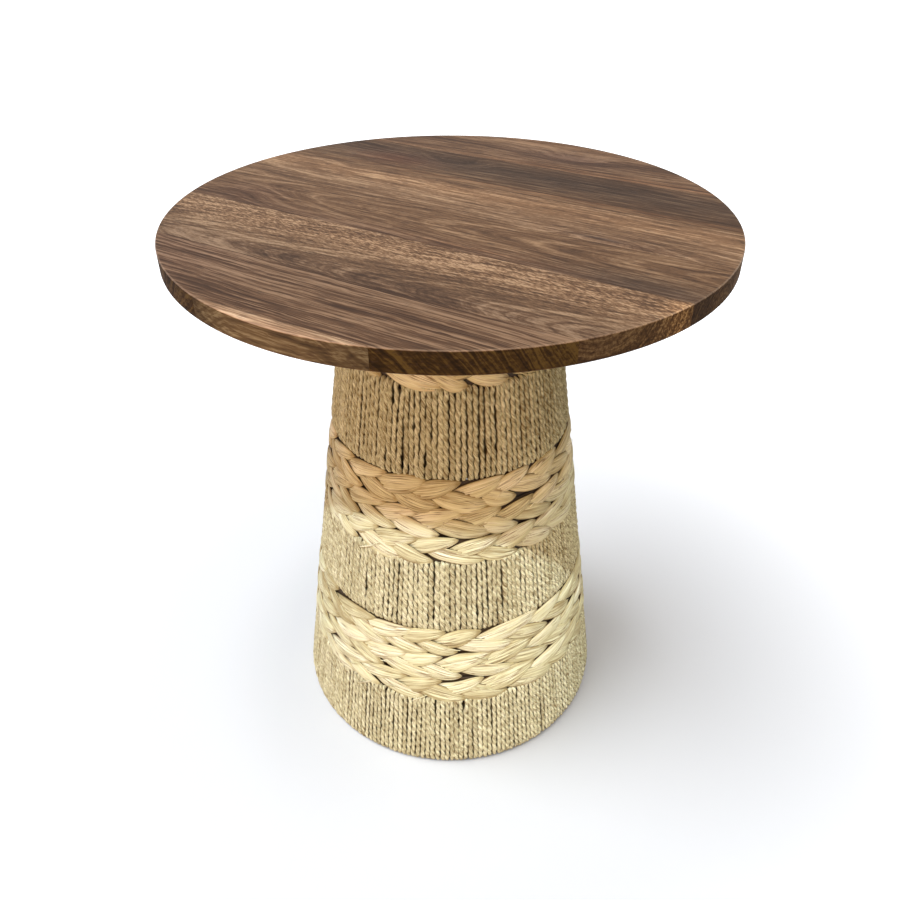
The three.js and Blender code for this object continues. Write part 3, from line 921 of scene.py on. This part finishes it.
# Grain: the pith's Y and Z, how fast the growth rings close along X, the pith's wander, and the widths of
# rings and lines. Shares: of bands, lines and flecks. A knot is (place, reach, lift), and a patch (X, Y,
# reach along X and along Y, tint, more flecks).
boards = [
    {"tint": (1.37, 1.5, 1.58), "rimTint": (0.355, 0.385, 0.335),
     "grain": (0.16, 0.7, 0.015, 0.012, 0.017, 0.0027), "shares": (0.2, 0.35, 0.05),
     "patches": [(-0.01, -0.252, 0.12, 0.011, (2.1, 2.15, 2.3), 0)]},
    {"tint": (0.78, 0.75, 0.74), "rimTint": (0.315, 0.295, 0.115),
     "grain": (0.16, 0.7, 0.015, 0.012, 0.017, 0.0023), "shares": (0.18, 0.8, 0.04),
     "patches": [(-0.01, -0.252, 0.12, 0.011, (2.1, 2.15, 2.3), 0)],
     "rimPatches": [((-0.16, -0.2, 0.548), (0.07, 0.08, 0.008), (1.2, 1.03, 1.5), 0.5)]},
    {"tint": (1.06, 1.1, 1.1), "rimTint": (0.46, 0.45, 0.36),
     "grain": (-0.15, 0.575, 0.17, 0.01, 0.016, 0.0027), "shares": (0.36, 0.46, 0.16), "slant": 0.25,
     "patches": [(0, -0.09, 0.6, 0.028, (1.3, 1.27, 1.24), 0.36),
                 (0.02, -0.155, 0.5, 0.02, (0.78, 0.76, 0.78), 0),
                 (0.236, -0.084, 0.012, 0.016, (1.8, 1.75, 1.6), 0.2)]},
    {"tint": (0.97, 0.93, 0.84), "rimTint": (0.38, 0.35, 0.24),
     "grain": (-0.026, 0.53, 0.07, 0.005, 0.013, 0.0024),
     "shares": (0.12, 0.4, 0.12), "knots": [((-0.195, -0.045, 0.56), (0.045, 0.022, 0.05), 0.009)],
     "patches": [(-0.19, -0.045, 0.045, 0.025, (0.72, 0.66, 0.68), 0),
                 (0.0, -0.075, 0.4, 0.02, (0.72, 0.68, 0.72), 0),
                 (0.2, -0.062, 0.07, 0.02, (0.55, 0.58, 0.64), 0),
                 (0.06, -0.062, 0.09, 0.0012, (1.4, 1.35, 1.3), 0)]},
    {"tint": (1.15, 1.15, 1.1), "grain": (0.12, 0.4, 0.02, 0.012, 0.02, 0.0032),
     "shares": (0.22, 0.4, 0.14), "knots": [((0.139, 0.009, 0.56), (0.05, 0.015, 0.05), 0.018)],
     "patches": [(0.0, 0.055, 0.6, 0.018, (1.28, 1.25, 1.2), 0),
                 (0.15, 0.007, 0.06, 0.01, (0.78, 0.74, 0.76), 0),
                 (0.137, 0.009, 0.024, 0.003, (0.3, 0.27, 0.27), 0)]},
    {"tint": (0.64, 0.56, 0.43), "grain": (-0.02, 0.42, 0.02, 0.02, 0.022, 0.0032),
     "shares": (0.28, 0.36, 0.08), "knots": [((-0.07, 0.13, 0.56), (0.035, 0.02, 0.05), 0.022)],
     "patches": [(0.0, 0.125, 0.5, 0.032, (0.58, 0.6, 0.66), 0),
                 (-0.13, 0.114, 0.045, 0.018, (1.3, 1.02, 0.98), 0),
                 (0.05, 0.086, 0.25, 0.0016, (1.7, 1.62, 1.62), 0),
                 (0.05, 0.08, 0.25, 0.0014, (1.5, 1.42, 1.42), 0)]},
    {"tint": (0.78, 0.7, 0.6), "grain": (0.02, 0.42, 0.02, 0.014, 0.022, 0.0034),
     "shares": (0.3, 0.42, 0.1), "knots": [((0.03, 0.2, 0.56), (0.05, 0.02, 0.05), 0.02)],
     "patches": [(0.03, 0.2, 0.055, 0.02, (0.66, 0.6, 0.64), 0),
                 (0.0, 0.25, 0.2, 0.02, (1.2, 1.15, 1.05), 0),
                 (0.08, 0.1625, 0.2, 0.0018, (1.6, 1.52, 1.48), 0),
                 (0.1, 0.17, 0.15, 0.0016, (1.4, 1.34, 1.3), 0)]},
]


def boardMaterial(number, board):
    material, tree, shader = newMaterial(f"walnutBoard{number}", {"Specular IOR Level": walnutLook["gloss"]})
    place = objectPlace(tree)

    def tinted(tone):
        return (*[share * amount for share, amount in zip(walnutLook[tone], board["tint"])], 1)

    lift = 0.0
    for centre, reach, amount in board.get("knots", []):
        spot = {"Place": place, "Centre": centre, "Reach": reach, "Lift": amount}
        lift = useGroup(groups["knot"], spot)["Lift"]
    bandShare, lineShare, fleckShare = board["shares"]
    patches = [((x, y, top["highZ"]), (reachX, reachY, top["patchDepth"]), tint, flecks)
               for x, y, reachX, reachY, tint, flecks in board["patches"]]
    tints = []
    for centre, reach, tint, flecks in patches + board.get("rimPatches", []):
        patch = useGroup(groups["knot"], {"Place": place, "Centre": centre, "Reach": reach, "Lift": flecks})
        tints.append((patch["Mask"], (*tint, 1)))
        if flecks:  # a speckled patch has flecks in place of bands
            fleckShare = maths("ADD", patch["Lift"], fleckShare)
            bandShare = times(remap(patch["Mask"], 0.2, 0.8, 1.0, 0.2), bandShare)
    pithY, pithZ, taper, wander, ring, line = board["grain"]
    grain = useGroup(groups["walnut"], {
        "Place": place, "Pith": (0, pithY, pithZ), "Taper": taper, "Wander": wander, "Lift": lift,
        "Ring width": ring, "Line width": line, "Band share": bandShare, "Line share": lineShare,
        "Fleck share": fleckShare, "Fleck slant": board.get("slant", 0.0),
        "Seed": max(number, 2) * 7.3,  # the front two are cut from one plank
        "Dark": tinted("dark"), "Middle": tinted("middle"), "Light": tinted("light"),
        "Rim tint": (*board.get("rimTint", top["rimTint"]), 1)})
    colour = grain["Colour"]
    for mask, tint in tints:
        colour = mixColour(mask, colour, tint, "MULTIPLY")
    connect(shader, {"Base Color": colour, "Roughness": grain["Roughness"],
                     "Normal": addBump(grain["Height"], *walnutLook["bump"])})
    return material


def turnedDisc():
    bm = bmesh.new()
    radius, lowZ, highZ, segments = top["radius"], top["lowZ"], top["highZ"], top["segments"]
    low, high = top["bottomArris"], top["topArris"]
    quarter = [math.radians(90 * i / 4) for i in range(5)]
    lowArris = [(radius - low * (1 - math.sin(a)), lowZ + low * (1 - math.cos(a))) for a in quarter]
    highArris = [(radius - high * (1 - math.cos(a)), highZ - high * (1 - math.sin(a))) for a in quarter]
    straight = [(radius, lowArris[-1][1] + top["edgeLoop"]), (radius, highArris[0][1] - top["edgeLoop"])]
    rows = [[bm.verts.new((r * math.cos(a), r * math.sin(a), z)) for a in evenTurns(segments)]
            for r, z in lowArris + straight + highArris]
    for lower, upper in zip(rows, rows[1:]):
        for i in range(segments):
            j = (i + 1) % segments
            bm.faces.new((lower[i], lower[j], upper[j], upper[i])).smooth = True
    bm.faces.new(rows[0][::-1])
    bm.faces.new(rows[-1])
    return bm


def cutAway(bm, y, keepBack):
    cut = bmesh.ops.bisect_plane(bm, geom=bm.verts[:] + bm.edges[:] + bm.faces[:], dist=1e-7,
                                 plane_co=(0, y, 0), plane_no=(0, 1, 0),
                                 clear_outer=not keepBack, clear_inner=keepBack)
    edges = [part for part in cut["geom_cut"] if isinstance(part, bmesh.types.BMEdge)]
    bmesh.ops.edgeloop_fill(bm, edges=edges)


def topBoard(number):
    disc = turnedDisc()
    joints = [None, *top["joints"], None]
    front, back = joints[number - 1:number + 1]
    if front is not None:
        cutAway(disc, front + top["glueLine"] / 2, True)
    if back is not None:
        cutAway(disc, back - top["glueLine"] / 2, False)
    bmesh.ops.recalc_face_normals(disc, faces=disc.faces[:])
    for edge in disc.edges:
        # The sawn faces have many corners, those of the rim four
        sawn = {len(face.verts) > 8 for face in edge.link_faces}
        facesAgree = edge.link_faces[0].normal.dot(edge.link_faces[-1].normal) >= 0.5
        edge.smooth = len(sawn) == 1 and facesAgree
    mesh = bpy.data.meshes.new(f"top_board_{number}")
    disc.to_mesh(mesh)
    disc.free()
    material = boardMaterial(number, boards[number - 1])
    return addPiece(f"walnut_board_{number}", mesh, material, [f"top_board_{number}"])


# Frame and screws, which keep their CAD shapes
metals = {
    "blackSteel": {"dull": (0.018, 0.017, 0.016, 1), "bright": (0.06, 0.055, 0.05, 1), "metallic": 0.3,
                   "wear": (60.0, 0.55, 0.75), "grit": (4.0, 260.0), "roughness": (0.4, 0.62), "bump": 0.3},
    "zincScrew": {"dull": (0.42, 0.41, 0.37, 1), "bright": (0.62, 0.61, 0.58, 1), "metallic": 1.0,
                  "wear": (700.0, 0.0, 1.0), "grit": (3.0, 700.0), "roughness": (0.28, 0.45), "bump": 0.0},
}


def metalMaterial(name):
    look = metals[name]
    material, tree, shader = newMaterial(name, {"Metallic": look["metallic"]})
    (detail, fineness), (spread, low, high) = look["grit"], look["wear"]
    rough = noise(objectPlace(tree), detail, scale=fineness)
    worn = remap(noise(objectPlace(tree), 3.0, scale=spread), low, high)
    connect(shader, {"Base Color": mixColour(worn, look["dull"], look["bright"]),
                     "Roughness": remap(rough, 0.3, 0.7, *look["roughness"]),
                     "Normal": addBump(rough, look["bump"], 0.0002)})
    return material


scene.view_settings.view_transform = "Standard"
placeCamera()
lightTheRoom()
floor = layFloor()
print("camera, lights and floor are in place")

cordFinish = cordMaterial()
for stripe in cords["counts"]:
    cordPanel(stripe, cordFinish)
    cordBacks(stripe, cordFinish)

leafFinish = leafMaterial()
for stripe in plaits["lobes"]:
    for row in plaitRows:
        plaitRow(stripe, row, leafFinish)
looseEnds(leafFinish)
print("plaits are closed round the base")

linkLamps(floor, [topBoard(number) for number in range(1, len(boards) + 1)])
print("boards are glued up")

steel, zinc = metalMaterial("blackSteel"), metalMaterial("zincScrew")
for name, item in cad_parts.items():
    if name.startswith(("upright", "screw_tab", "top_screw")) or name.endswith("ring"):
        for slot in item.material_slots:
            slot.material = zinc if name.startswith("top_screw") else steel
print("frame and screws have their finish")
